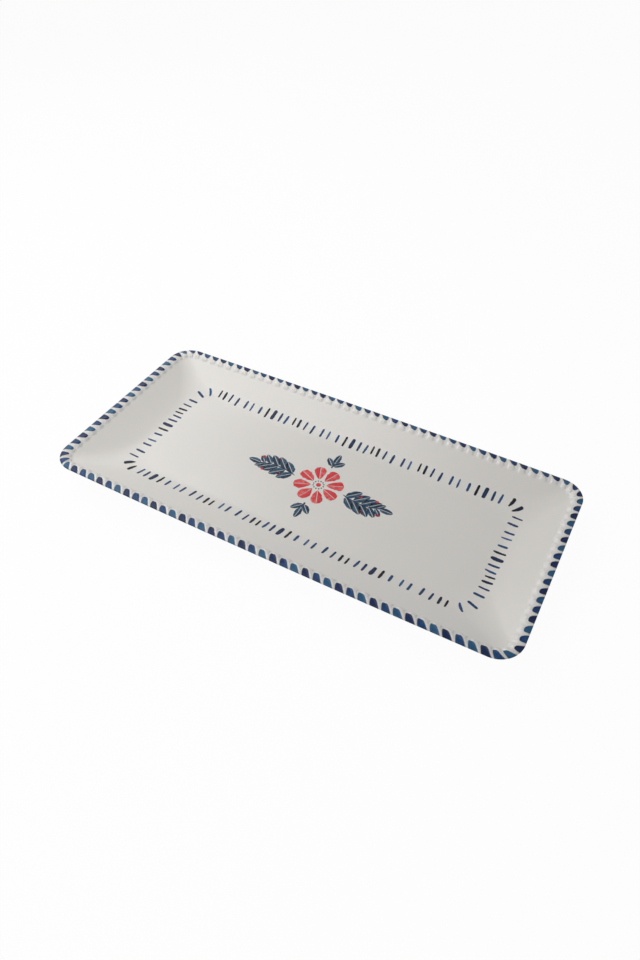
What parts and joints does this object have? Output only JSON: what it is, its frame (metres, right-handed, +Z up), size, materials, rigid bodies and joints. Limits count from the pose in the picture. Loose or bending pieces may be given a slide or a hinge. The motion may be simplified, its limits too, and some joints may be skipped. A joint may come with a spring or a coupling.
{
  "type": "rectangular platter",
  "caption": "Long rectangular serving platter with a shallow sloped well, a rope-twisted rim and a bare foot ring, in glazed ceramic.",
  "frame": {"origin": "middle of the platter at the level of the foot ring's bearing face", "axes": "+Z up, +X along the long sides, +Y across the platter"},
  "size_m": [0.35, 0.166, 0.0214],
  "materials": {
    "clay": "fired, unglazed, fine matt grain",
    "glaze": "warm off-white satin gloss glaze over blue brushed decoration",
    "base_glaze": "thin off-white gloss glaze inside the foot ring"
  },
  "bodies": {
    "root": {"clay_body": "clay", "upper_glaze": "glaze", "base_glaze": "base_glaze"}
  },
  "joints": []
}
